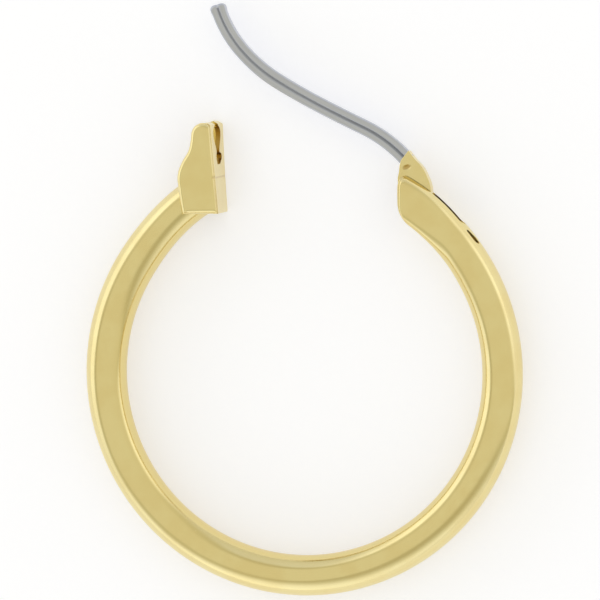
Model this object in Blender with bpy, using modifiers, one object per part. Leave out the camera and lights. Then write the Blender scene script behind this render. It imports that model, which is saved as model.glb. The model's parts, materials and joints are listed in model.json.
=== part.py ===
"""Hinged hoop earring, open and lying on its side.

A hollow tube is bent into a hoop. A folded sheet catch sits on one end of it. A steel ear post
swings on a hidden pin in the other end, which is flattened and slotted for the post's lever.
Metres, +Z up. The hoop's plane is level, and the catch's lower cheek rests at Z = 0.
"""

import math
from collections import namedtuple

import bmesh
import bpy
from mathutils import Matrix, Vector

# Hoop tube
HOOP_DIAMETER = 0.0300
TUBE_DIAMETER = 0.00275
TUBE_WALL = 0.00025
END_SPREAD = 0.00012
CATCH_END_SPREAD = 0.00024
SPREAD_LENGTH = 0.0070
HINGE_END_X = 0.0067
HINGE_END_CORNER = 0.00045
CORNER_POWER = 4
FLATTEN_LENGTH = 0.0036
FLATTEN_POWER = 4.0
ROUND_POWER = 2.0

# Slot in the outer wall of the hinge end, and the shorter slit past a narrow bridge
SLOT_LENGTH = 0.0045
SLOT_CLEARANCE = 0.00012
BRIDGE_LENGTH = 0.0003
SLIT_LENGTH = 0.0012
SLIT_WIDTH = 0.00043
SLIT_OFFSET = 0.000415

# Hinge pin, and its blind sockets in the side walls
PIVOT_INSET = 0.00112
PIN_DIAMETER = 0.00056
PIN_CLEARANCE = 0.00005
PIN_SOCKET_DEPTH = 0.00012
PIN_END_GAP = 0.00003

# Lever
LEVER_THICKNESS = 0.00076
LEVER_REACH = 0.00384
LEVER_EDGE_RADIUS = 0.00010
HUB_WALL = 0.00042

# Ear post
POST_LENGTH = 0.0168
POST_WIDTH = 0.00103
POST_THICKNESS = 0.00062
POST_GROOVE_DEPTH = 0.00008
TENON_LENGTH = 0.0008
TENON_SHARE = 0.40
TENON_CLEARANCE = 0.00005

# Catch
CATCH_X = -0.00554
CATCH_DROP = 0.00038
CATCH_LEAN = 5.2
CATCH_HEIGHT = 0.00630
CATCH_REACH = 0.00258
SHEET = 0.00033
FOLD_RADIUS = 0.00024
CHEEK_CLEARANCE = 0.00005
TUBE_END_GAP = 0.00015

# Keyhole in the catch's end panel
SEAT_HEIGHT = 0.00394
SEAT_CLEARANCE = 0.00005
NECK_CLEARANCE = 0.00005
SEAT_NEAR = 0.00050
SEAT_FAR = 0.00085
KEYHOLE_WIDTH = 0.00165

# How finely the round shapes are divided
TUBE_SIDES = 16
HOOP_STEPS = 60
END_STEPS = 5
POST_STEPS = 22
PIN_SIDES = 16
SLOT_STEPS = 8
SLIT_STEPS = 3
OUTLINE_STEPS = 4
FOLD_SEGMENTS = 3
EDGE_STEPS = 1
SHARP_ANGLE = math.radians(40)

# A cutter runs this far past what it cuts
OVERCUT = 0.0010

# Length over which the post narrows to its tenon
SHOULDER_STEP = 0.00001

# The post's direction at shares of its length, in degrees from +X towards +Y.
Bend = namedtuple("Bend", "share heading")
POST_BENDS = (
    Bend(0.0, 134.3),
    Bend(0.2, 154.8),
    Bend(0.4, 153.2),
    Bend(0.6, 148.6),
    Bend(0.8, 130.3),
    Bend(1.0, 105.7),
)

# The post's thickness at shares of its length. The tip is a rounded bead.
Swell = namedtuple("Swell", "share size")
POST_SWELLS = (
    Swell(0.0, 1.0),
    Swell(0.955, 1.0),
    Swell(0.975, 1.06),
    Swell(0.993, 1.02),
    Swell(1.0, 0.78),
)

# A quarter of the post's section, as shares of half its width and half its thickness.
# The last row is the middle of the groove, which has a depth of its own.
Section = namedtuple("Section", "across up")
POST_SECTION = (
    Section(1.00, 0.34),
    Section(0.80, 0.84),
    Section(0.42, 1.00),
    Section(0.14, 0.92),
)

# Outlines run clockwise. A corner row has a sharp corner, and the others are joined smoothly.
Row = namedtuple("Row", "across along corner")

# The lever's two long sides from the pivot, as shares of LEVER_REACH.
LEVER_OUTER_SIDE = (
    Row(-0.130, 0.960, True),
    Row(-0.026, 0.824, False),
    Row(0.120, 0.664, False),
    Row(0.210, 0.493, False),
    Row(0.262, 0.345, False),
    Row(0.272, 0.220, False),
)
LEVER_INNER_SIDE = (
    Row(-0.255, 0.215, False),
    Row(-0.326, 0.424, False),
    Row(-0.302, 0.602, False),
    Row(-0.290, 0.700, False),
    Row(-0.262, 0.795, True),
)
POST_ROOT = Row(-0.230, 0.854, True)

# A cheek of the catch from the foot of its fold, as shares of CATCH_REACH and CATCH_HEIGHT.
CHEEK_OUTLINE = (
    Row(0.000, 0.000, True),
    Row(-0.962, 0.041, True),
    Row(-1.000, 0.315, False),
    Row(-0.992, 0.465, False),
    Row(-0.854, 0.594, False),
    Row(-0.635, 0.723, False),
    Row(-0.558, 0.823, False),
    Row(-0.488, 0.934, False),
    Row(-0.346, 0.986, False),
    Row(-0.154, 0.998, False),
    Row(0.000, 0.965, True),
)

# Heights of the keyhole's neck, its widest place and its mouth, as shares of the height that is
# left above the seat.
NECK_LOW = 0.10
NECK_HIGH = 0.16
BULB_HEIGHT = 0.70
MOUTH_LOW = 0.88

# Worked out from the sizes above
TUBE_RADIUS = TUBE_DIAMETER / 2
BORE_RADIUS = TUBE_RADIUS - TUBE_WALL
HOOP_RADIUS = (HOOP_DIAMETER - TUBE_DIAMETER) / 2
END_RADIUS = HOOP_RADIUS + END_SPREAD
CATCH_END_RADIUS = HOOP_RADIUS + CATCH_END_SPREAD
PIN_RADIUS = PIN_DIAMETER / 2
PIN_HOLE_RADIUS = PIN_RADIUS + PIN_CLEARANCE
HUB_RADIUS = PIN_HOLE_RADIUS + HUB_WALL
SLOT_WIDTH = LEVER_THICKNESS + 2 * SLOT_CLEARANCE
CATCH_INNER_WIDTH = TUBE_DIAMETER + 2 * CHEEK_CLEARANCE
CATCH_WIDTH = CATCH_INNER_WIDTH + 2 * SHEET
NECK_WIDTH = POST_THICKNESS + 2 * NECK_CLEARANCE


def on_hoop(x, radius=END_RADIUS):
    """The point at x on the upper half of a circle round the hoop's centre."""
    return Vector((x, math.sqrt(radius**2 - x**2), 0))


PIVOT = on_hoop(HINGE_END_X + PIVOT_INSET)
CATCH_FOOT = on_hoop(CATCH_X, END_RADIUS - TUBE_RADIUS - CATCH_DROP)


def interpolated(table, share, column):
    """The value of a column at a share of the length, on straight lines between the rows."""
    for low, high in zip(table, table[1:]):
        if share <= high.share:
            part = (share - low.share) / (high.share - low.share)
            return getattr(low, column) + part * (getattr(high, column) - getattr(low, column))
    return getattr(table[-1], column)


def smooth_step(share):
    """Rises smoothly from 0 to 1."""
    share = min(max(share, 0), 1)
    return share * share * (3 - 2 * share)


def add_material(name, colour, roughness, metallic=1.0):
    """A Principled material with the part's colour."""
    material = bpy.data.materials.new(name)
    material.use_nodes = True
    shader = material.node_tree.nodes["Principled BSDF"]
    shader.inputs["Base Color"].default_value = (*colour, 1)
    shader.inputs["Roughness"].default_value = roughness
    shader.inputs["Metallic"].default_value = metallic
    return material


def add_object(name, data, collection, parent=None, place=None):
    """Links an object to a collection and places it under its parent."""
    item = bpy.data.objects.new(name, data)
    collection.objects.link(item)
    item.parent = parent
    item.matrix_local = place or Matrix.Identity(4)
    return item


def finish_round(mesh):
    """Closes the seams of a mesh, turns its faces outwards and shades its round sides smooth."""
    shape = bmesh.new()
    shape.from_mesh(mesh)
    bmesh.ops.remove_doubles(shape, verts=shape.verts, dist=1e-8)
    bmesh.ops.recalc_face_normals(shape, faces=shape.faces)
    shape.to_mesh(mesh)
    shape.free()
    mesh.shade_smooth()
    mesh.set_sharp_from_angle(angle=SHARP_ANGLE)


def mesh_of_curve(curve, name):
    """The mesh that a curve makes, with its caps joined on."""
    guide = bpy.data.objects.new(name, curve)
    bpy.context.scene.collection.objects.link(guide)
    bpy.context.view_layer.update()
    graph = bpy.context.evaluated_depsgraph_get()
    mesh = bpy.data.meshes.new_from_object(guide.evaluated_get(graph))
    mesh.name = name
    bpy.data.objects.remove(guide)
    finish_round(mesh)
    return mesh


def outline_mesh(name, points, thickness, edge_radius=0.0):
    """A flat plate in XY from (x, y, corner) points, centred on its own plane."""
    curve = bpy.data.curves.new(name, "CURVE")
    curve.dimensions = "2D"
    curve.fill_mode = "BOTH"
    curve.resolution_u = OUTLINE_STEPS
    curve.extrude = thickness / 2 - edge_radius
    curve.bevel_depth = edge_radius
    curve.bevel_resolution = EDGE_STEPS
    curve.offset = -edge_radius
    spline = curve.splines.new("BEZIER")
    spline.bezier_points.add(len(points) - 1)
    spline.use_cyclic_u = True
    for knot, (x, y, corner) in zip(spline.bezier_points, points):
        knot.co = (x, y, 0)
        knot.handle_left_type = "VECTOR" if corner else "AUTO"
        knot.handle_right_type = knot.handle_left_type
    return mesh_of_curve(curve, name)


def scaled(rows, across, along):
    """Rows of shares as (x, y, corner) points."""
    return [(row.across * across, row.along * along, row.corner) for row in rows]


def box_mesh(name, low, high, edge_radius=0.0):
    """A box between two corners, with rounded edges."""
    size = Vector(high) - Vector(low)
    middle = (Vector(high) + Vector(low)) / 2
    place = Matrix.Translation(middle) @ Matrix.Diagonal((*size, 1))
    shape = bmesh.new()
    bmesh.ops.create_cube(shape, size=1, matrix=place)
    if edge_radius:
        bmesh.ops.bevel(
            shape,
            geom=shape.edges[:],
            offset=edge_radius,
            segments=FOLD_SEGMENTS,
            profile=0.5,
            affect="EDGES",
        )
    mesh = bpy.data.meshes.new(name)
    shape.to_mesh(mesh)
    shape.free()
    return mesh


def cylinder_mesh(name, radius, length):
    """A cylinder along Z about its own middle."""
    shape = bmesh.new()
    bmesh.ops.create_cone(
        shape,
        cap_ends=True,
        segments=PIN_SIDES,
        radius1=radius,
        radius2=radius,
        depth=length,
    )
    mesh = bpy.data.meshes.new(name)
    shape.to_mesh(mesh)
    shape.free()
    mesh.shade_smooth()
    mesh.set_sharp_from_angle(angle=SHARP_ANGLE)
    return mesh


def cut(item, name, mesh, collection, parent=None, place=None, operation="DIFFERENCE"):
    """Cuts an object with a mesh, which is kept as a hidden cutter."""
    cutter = add_object(name, mesh, collection, parent, place)
    cutter.display_type = "WIRE"
    cutter.hide_render = True
    boolean = item.modifiers.new(name, "BOOLEAN")
    boolean.operation = operation
    boolean.solver = "EXACT"
    boolean.object = cutter


def angle_on_plane(radius, normal_angle, distance):
    """The angle at which a circle round the centre meets a plane square to the hoop."""
    return normal_angle + math.acos(distance / radius)


def tube_section(power):
    """(outward, up) offsets of one ring of the tube, from a circle to a rounded square."""
    ring = []
    for side in range(TUBE_SIDES):
        turn = 2 * math.pi * (side + 0.5) / TUBE_SIDES
        out = math.copysign(abs(math.cos(turn)) ** (2 / power), math.cos(turn))
        up = math.copysign(abs(math.sin(turn)) ** (2 / power), math.sin(turn))
        ring.append((out * TUBE_RADIUS, up * TUBE_RADIUS))
    return ring


def tube_rings():
    """Rings of points from the hinge end round to the catch end. Both ends are cut aslant."""
    lean = math.radians(CATCH_LEAN)
    foot_distance = CATCH_FOOT.x * math.cos(lean) + CATCH_FOOT.y * math.sin(lean)
    catch_plane = foot_distance - SHEET - TUBE_END_GAP
    hinge_mid = angle_on_plane(END_RADIUS, 0, HINGE_END_X)
    catch_mid = angle_on_plane(CATCH_END_RADIUS, lean, catch_plane) - 2 * math.pi
    plain_start = hinge_mid - FLATTEN_LENGTH / HOOP_RADIUS
    plain_end = catch_mid + TUBE_DIAMETER / HOOP_RADIUS
    spread_turn = SPREAD_LENGTH / HOOP_RADIUS

    def hinge_cut(out):
        corner = HINGE_END_CORNER * abs(out / TUBE_RADIUS) ** CORNER_POWER
        return angle_on_plane(END_RADIUS + out, 0, HINGE_END_X + corner)

    def catch_cut(out):
        return angle_on_plane(CATCH_END_RADIUS + out, lean, catch_plane) - 2 * math.pi

    def ring(angle_at, radius, power):
        points = []
        for out, up in tube_section(power):
            angle = angle_at(out)
            reach = radius + out
            points.append((reach * math.cos(angle), reach * math.sin(angle), up))
        return points

    def between(plain, cut_angle, part):
        return lambda out: plain + part * (cut_angle(out) - plain)

    rings = []
    for step in range(END_STEPS + 1):
        part = 1 - step / END_STEPS
        power = ROUND_POWER + (FLATTEN_POWER - ROUND_POWER) * part
        rings.append(ring(between(plain_start, hinge_cut, part), END_RADIUS, power))
    for step in range(1, HOOP_STEPS + 1):
        angle = plain_start + (plain_end - plain_start) * step / HOOP_STEPS
        hinge_share = 1 - smooth_step((plain_start - angle) / spread_turn)
        catch_share = 1 - smooth_step((angle - plain_end) / spread_turn)
        radius = HOOP_RADIUS + END_SPREAD * hinge_share + CATCH_END_SPREAD * catch_share
        rings.append(ring(lambda out, angle=angle: angle, radius, ROUND_POWER))
    for step in range(1, END_STEPS + 1):
        part = step / END_STEPS
        rings.append(ring(between(plain_end, catch_cut, part), CATCH_END_RADIUS, ROUND_POWER))
    return rings


def tube_mesh():
    """The tube's outer skin, open at both ends. Its section changes along the hoop."""
    shape = bmesh.new()
    rings = [[shape.verts.new(point) for point in ring] for ring in tube_rings()]
    for near, far in zip(rings, rings[1:]):
        for side in range(TUBE_SIDES):
            after = (side + 1) % TUBE_SIDES
            shape.faces.new((near[side], near[after], far[after], far[side]))
    mesh = bpy.data.meshes.new("hoop_tube")
    shape.to_mesh(mesh)
    shape.free()
    mesh.shade_smooth()
    mesh.set_sharp_from_angle(angle=SHARP_ANGLE)
    return mesh


def sector_mesh(name, start, end, steps, width):
    """A cutter between two angles, from the tube's centre line out past its skin."""
    inner = END_RADIUS
    outer = END_RADIUS + TUBE_RADIUS + OVERCUT
    angles = [end + (start - end) * step / steps for step in range(steps + 1)]
    rim = [(outer * math.cos(a), outer * math.sin(a), True) for a in angles]
    bore = [(inner * math.cos(a), inner * math.sin(a), True) for a in reversed(angles)]
    return outline_mesh(name, rim + bore, width)


def build_hoop_tube(part, cutters, root, material):
    """The hollow tube, with its slot, its slit and the pin's two blind sockets."""
    tube = add_object("hoop_tube", tube_mesh(), part, root)
    tube.data.materials.append(material)
    wall = tube.modifiers.new("wall", "SOLIDIFY")
    wall.thickness = TUBE_WALL
    wall.offset = -1
    wall.use_even_offset = True
    hinge_mid = angle_on_plane(END_RADIUS, 0, HINGE_END_X)
    start_angle = hinge_mid + 2 * TUBE_DIAMETER / HOOP_RADIUS
    end_angle = hinge_mid - (SLOT_LENGTH - SLOT_WIDTH / 2) / HOOP_RADIUS
    slot = sector_mesh("slot_cutter", start_angle, end_angle, SLOT_STEPS, SLOT_WIDTH)
    cut(tube, "slot_cutter", slot, cutters, root)
    slit_start = hinge_mid - (SLOT_LENGTH + BRIDGE_LENGTH) / HOOP_RADIUS
    slit_end = slit_start - SLIT_LENGTH / HOOP_RADIUS
    slit = sector_mesh("slit_cutter", slit_start, slit_end, SLIT_STEPS, SLIT_WIDTH)
    cut(tube, "slit_cutter", slit, cutters, root, Matrix.Translation((0, 0, SLIT_OFFSET)))
    reach = TUBE_RADIUS + OVERCUT
    middle = END_RADIUS + reach / 2
    outward = Vector((math.cos(end_angle), math.sin(end_angle), 0))
    turn = outward.to_track_quat("Z", "Y").to_matrix().to_4x4()
    place = Matrix.Translation(outward * middle) @ turn
    cut(
        tube,
        "slot_end_cutter",
        cylinder_mesh("slot_end_cutter", SLOT_WIDTH / 2, reach),
        cutters,
        root,
        place,
    )
    cut(
        tube,
        "pin_socket_cutter",
        cylinder_mesh(
            "pin_socket_cutter",
            PIN_HOLE_RADIUS,
            2 * (BORE_RADIUS + PIN_SOCKET_DEPTH),
        ),
        cutters,
        root,
        Matrix.Translation(PIVOT),
    )


def build_hinge_pin(part, root, material):
    """The hidden pin, whose ends sit in the tube's side walls."""
    length = 2 * (BORE_RADIUS + PIN_SOCKET_DEPTH - PIN_END_GAP)
    mesh = cylinder_mesh("hinge_pin", PIN_RADIUS, length)
    pin = add_object("hinge_pin", mesh, part, root, Matrix.Translation(PIVOT))
    pin.data.materials.append(material)


def keyhole_points():
    """(far, height, corner) points of the keyhole, clockwise from the top, open upwards."""
    neck = NECK_WIDTH / 2
    bulb = KEYHOLE_WIDTH / 2
    top = CATCH_HEIGHT + OVERCUT
    bottom = SEAT_HEIGHT - POST_WIDTH / 2 - SEAT_CLEARANCE

    def height(share):
        return SEAT_HEIGHT + share * (CATCH_HEIGHT - SEAT_HEIGHT)

    return [
        (neck, top, True),
        (neck, height(MOUTH_LOW), True),
        (bulb, height(BULB_HEIGHT), False),
        (neck, height(NECK_HIGH), False),
        (neck, height(NECK_LOW), True),
        (SEAT_FAR, SEAT_HEIGHT, False),
        (neck, bottom, True),
        (-neck, bottom, True),
        (-SEAT_NEAR, SEAT_HEIGHT, False),
        (-neck, height(NECK_LOW), True),
        (-neck, height(NECK_HIGH), False),
        (-bulb, height(BULB_HEIGHT), False),
        (-neck, height(MOUTH_LOW), True),
        (-neck, top, True),
    ]


def build_catch(part, cutters, root, material):
    """The catch: two cheeks and an end panel folded from one sheet, and the panel's keyhole."""
    place = Matrix.Translation(CATCH_FOOT) @ Matrix.Rotation(math.radians(CATCH_LEAN), 4, "Z")
    blank = outline_mesh(
        "catch",
        scaled(CHEEK_OUTLINE, CATCH_REACH, CATCH_HEIGHT),
        CATCH_WIDTH + 2 * OVERCUT,
    )
    catch = add_object("catch", blank, part, root, place)
    catch.data.materials.append(material)
    half = CATCH_WIDTH / 2
    gap = CATCH_INNER_WIDTH / 2
    fold_box = box_mesh(
        "fold_cutter",
        (-CATCH_REACH - OVERCUT, -OVERCUT, -half),
        (0, CATCH_HEIGHT, half),
        FOLD_RADIUS,
    )
    cut(catch, "fold_cutter", fold_box, cutters, root, place, "INTERSECT")
    inside = box_mesh(
        "cheek_gap_cutter",
        (-CATCH_REACH - 2 * OVERCUT, -2 * OVERCUT, -gap),
        (-SHEET, CATCH_HEIGHT + OVERCUT, gap),
    )
    cut(catch, "cheek_gap_cutter", inside, cutters, root, place)
    keyhole = outline_mesh("keyhole_cutter", keyhole_points(), 2 * (SHEET + OVERCUT))
    sideways = place @ Matrix.Rotation(math.radians(90), 4, "Y")
    cut(catch, "keyhole_cutter", keyhole, cutters, root, sideways)


def heading_at(share):
    """The post's direction at a share of its length."""
    turn = math.radians(interpolated(POST_BENDS, share, "heading"))
    return Vector((math.cos(turn), math.sin(turn), 0))


def post_path():
    """(point, size) along the post, from the pivot: its tenon, its root and on to its tip."""
    root = Vector((POST_ROOT.across, POST_ROOT.along, 0)) * LEVER_REACH
    back = -heading_at(0)
    shoulder = root + back * SHOULDER_STEP
    path = [(root + back * TENON_LENGTH, TENON_SHARE), (shoulder, TENON_SHARE)]
    shares = {step / POST_STEPS for step in range(POST_STEPS + 1)}
    shares |= {row.share for row in POST_SWELLS}
    point = root
    last = 0.0
    for share in sorted(shares):
        point = point + heading_at((share + last) / 2) * (share - last) * POST_LENGTH
        path.append((point, interpolated(POST_SWELLS, share, "size")))
        last = share
    return path


def section_curve(name):
    """The post's closed section: rounded sides, and a groove along both flat faces."""
    half_width = POST_WIDTH / 2
    half_thickness = POST_THICKNESS / 2
    quarter = [(row.across * half_width, row.up * half_thickness) for row in POST_SECTION]
    groove = (0, half_thickness - POST_GROOVE_DEPTH)
    top = quarter + [groove] + [(-x, y) for x, y in reversed(quarter)]
    ring = top + [(-x, -y) for x, y in top]
    curve = bpy.data.curves.new(name, "CURVE")
    curve.dimensions = "2D"
    spline = curve.splines.new("POLY")
    spline.points.add(len(ring) - 1)
    spline.use_cyclic_u = True
    for knot, (x, y) in zip(spline.points, ring):
        knot.co = (x, y, 0, 1)
    return curve


def build_post(part, cutters, pivot, material):
    """The steel ear post, swept along its bends from the tenon to the bead at its tip."""
    section = add_object("post_section", section_curve("post_section"), cutters)
    section.hide_render = True
    curve = bpy.data.curves.new("post", "CURVE")
    curve.dimensions = "3D"
    curve.twist_mode = "Z_UP"
    curve.bevel_mode = "OBJECT"
    curve.bevel_object = section
    curve.use_fill_caps = True
    path = post_path()
    spline = curve.splines.new("POLY")
    spline.points.add(len(path) - 1)
    for knot, (point, size) in zip(spline.points, path):
        knot.co = (*point, 1)
        knot.radius = size
    post = add_object("post", mesh_of_curve(curve, "post"), part, pivot)
    post.data.materials.append(material)


def build_lever(part, cutters, pivot, material):
    """The lever that carries the post, with the pin's hole and the socket of the post's tenon."""
    hub = [(HUB_RADIUS, 0, False), (0, -HUB_RADIUS, False), (-HUB_RADIUS, 0, False)]
    points = scaled(LEVER_OUTER_SIDE, LEVER_REACH, LEVER_REACH)
    points += hub + scaled(LEVER_INNER_SIDE, LEVER_REACH, LEVER_REACH)
    mesh = outline_mesh("hinge_lever", points, LEVER_THICKNESS, LEVER_EDGE_RADIUS)
    lever = add_object("hinge_lever", mesh, part, pivot)
    lever.data.materials.append(material)
    hole = cylinder_mesh("pin_hole_cutter", PIN_HOLE_RADIUS, LEVER_THICKNESS + OVERCUT)
    cut(lever, "pin_hole_cutter", hole, cutters, pivot)
    root = Vector((POST_ROOT.across, POST_ROOT.along, 0)) * LEVER_REACH
    half_width = POST_WIDTH / 2 * TENON_SHARE + TENON_CLEARANCE
    half_thickness = POST_THICKNESS / 2 * TENON_SHARE + TENON_CLEARANCE
    socket = box_mesh(
        "tenon_socket_cutter",
        (-TENON_LENGTH - TENON_CLEARANCE, -half_width, -half_thickness),
        (OVERCUT, half_width, half_thickness),
    )
    turn = Matrix.Rotation(math.radians(POST_BENDS[0].heading), 4, "Z")
    cut(lever, "tenon_socket_cutter", socket, cutters, pivot, Matrix.Translation(root) @ turn)


def top_of_post():
    """The highest Y that the post reaches, from the pivot."""
    path = post_path()
    lean = abs(heading_at(1.0).x)
    return max(point.y + lean * size * POST_WIDTH / 2 for point, size in path)


def build_earring():
    """Places every piece under one frame: origin at the middle of the model's underside."""
    for item in list(bpy.data.objects):
        bpy.data.objects.remove(item)
    part = bpy.data.collections.new("hoop_earring")
    cutters = bpy.data.collections.new("cutters")
    bpy.context.scene.collection.children.link(part)
    bpy.context.scene.collection.children.link(cutters)
    gold = add_material("gold", (0.83, 0.66, 0.33), 0.18)
    steel = add_material("steel", (0.50, 0.50, 0.48), 0.35)
    length_middle = (PIVOT.y + top_of_post() - HOOP_DIAMETER / 2) / 2
    place = Matrix.Translation((0, -length_middle, CATCH_WIDTH / 2))
    root = add_object("hoop_centre", None, part, None, place)
    pivot = add_object("post_hinge", None, part, root, Matrix.Translation(PIVOT))
    build_hoop_tube(part, cutters, root, gold)
    build_catch(part, cutters, root, gold)
    build_hinge_pin(part, root, steel)
    build_lever(part, cutters, pivot, gold)
    build_post(part, cutters, pivot, steel)


build_earring()
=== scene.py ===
"""Looks of the open hoop earring: plated tube, folded catch, hinge lever and grooved steel post.

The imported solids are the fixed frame. Each sub-assembly below builds its fine mesh in the same
place, dresses it, and rides on the body of the solid that it stands for. Metres, +Z up.
"""

import json
import logging
import math
from collections.abc import Callable, Mapping, Sequence
from dataclasses import dataclass
from enum import Enum

import bmesh
import bpy
from mathutils import Matrix, Vector


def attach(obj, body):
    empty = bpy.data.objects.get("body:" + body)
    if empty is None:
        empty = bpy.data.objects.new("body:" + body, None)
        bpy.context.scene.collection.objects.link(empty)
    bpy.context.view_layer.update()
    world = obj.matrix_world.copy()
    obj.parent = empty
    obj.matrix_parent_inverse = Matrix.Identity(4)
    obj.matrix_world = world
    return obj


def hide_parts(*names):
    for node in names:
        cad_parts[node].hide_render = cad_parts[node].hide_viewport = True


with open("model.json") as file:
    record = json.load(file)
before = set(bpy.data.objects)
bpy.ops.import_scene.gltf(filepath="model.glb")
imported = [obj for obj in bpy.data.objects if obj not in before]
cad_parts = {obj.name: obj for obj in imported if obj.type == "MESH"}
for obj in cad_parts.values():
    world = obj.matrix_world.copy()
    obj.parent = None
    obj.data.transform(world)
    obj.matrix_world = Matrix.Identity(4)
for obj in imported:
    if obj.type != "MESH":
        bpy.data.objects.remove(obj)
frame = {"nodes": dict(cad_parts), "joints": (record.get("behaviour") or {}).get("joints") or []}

LOG = logging.getLogger("hoop_earring")
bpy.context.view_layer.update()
PHOTO_PIXELS = 600
MILLIMETRE = 0.001
# Marks the faces that take painted shade.
PAINTED_SHADE_MARK = "painted_shade_mark"
# Marks the hoop's inner side, which takes painted shade.
PAINTED_INNER_SHADE = "inner_side"
# Where a skin's seam lies round its section, and how its rings crowd towards the detailed end.
SEAM = 0.625
CROWDING = 1.5
# The superellipse power of a circle.
ROUND = 2.0
ARC_STEPS = 8
EDGE_SEGMENTS = 6
CYLINDER_SIDES = 48
SECTOR_STEPS = 40
# A face whose normal leans less than this along an axis is a wall, and more than that faces it.
WALL_LEAN = 0.3
FRONT_LEAN = 0.5

Colour = tuple[float, float, float]
Band = tuple[float, float]


class Body(Enum):
    """The moving bodies of the frame."""

    HOOP = "hoop"
    POST_ARM = "post_arm"


class Slot(Enum):
    """The material slots of the record."""

    GOLD = "gold"
    STEEL = "steel"


class Corner(Enum):
    """How an outline passes through one of its points."""

    SHARP = "VECTOR"
    SMOOTH = "AUTO"


def joins(operation: str, swapped: bool = False) -> Callable[["Wire", "Wire | float"], "Wire"]:
    """Makes an operator of Wire that joins it with another value.

    Args:
        operation: The Math node's operation.
        swapped: Whether the other value comes first, as in a reflected form.

    Returns:
        The operator.
    """

    def operator(self: "Wire", other: "Wire | float") -> "Wire":
        """The Math node's result for the wire and the other value."""
        return self.sheet.maths(operation, *((other, self) if swapped else (self, other)))

    return operator


def changes(operation: str) -> Callable[["Wire"], "Wire"]:
    """Makes a method of Wire that gives one Math node's result for its value alone."""

    def method(self: "Wire") -> "Wire":
        """The Math node's result for the wire."""
        return self.sheet.maths(operation, self)

    return method


@dataclass(frozen=True)
class Wire:
    """One output socket of a node tree, which takes part in plain arithmetic.

    Attributes:
        sheet: The node tree that it belongs to.
        socket: The socket.
    """

    sheet: "NodeSheet"
    socket: bpy.types.NodeSocket

    __add__ = joins("ADD")
    __radd__ = joins("ADD", swapped=True)
    __sub__ = joins("SUBTRACT")
    __rsub__ = joins("SUBTRACT", swapped=True)
    __mul__ = joins("MULTIPLY")
    __rmul__ = joins("MULTIPLY", swapped=True)
    __truediv__ = joins("DIVIDE")
    __rtruediv__ = joins("DIVIDE", swapped=True)
    __pow__ = joins("POWER")
    __abs__ = changes("ABSOLUTE")
    sign = changes("SIGN")
    sine = changes("SINE")
    cosine = changes("COSINE")
    arc_cosine = changes("ARCCOSINE")

    def clamped(self) -> "Wire":
        """This value kept between nought and one."""
        return self.sheet.maths("MINIMUM", self.sheet.maths("MAXIMUM", self, 0.0), 1.0)

    def smooth(self, low: float, high: float) -> "Wire":
        """A smooth rise from nought at low to one at high.

        Args:
            low: The value where the rise starts.
            high: The value where it ends.

        Returns:
            The wire of the risen value.
        """
        made = self.sheet.node(
            "ShaderNodeMapRange",
            {"interpolation_type": "SMOOTHSTEP"},
            {"Value": self, "From Min": low, "From Max": high},
        )
        return self.sheet.wire(made)


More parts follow.
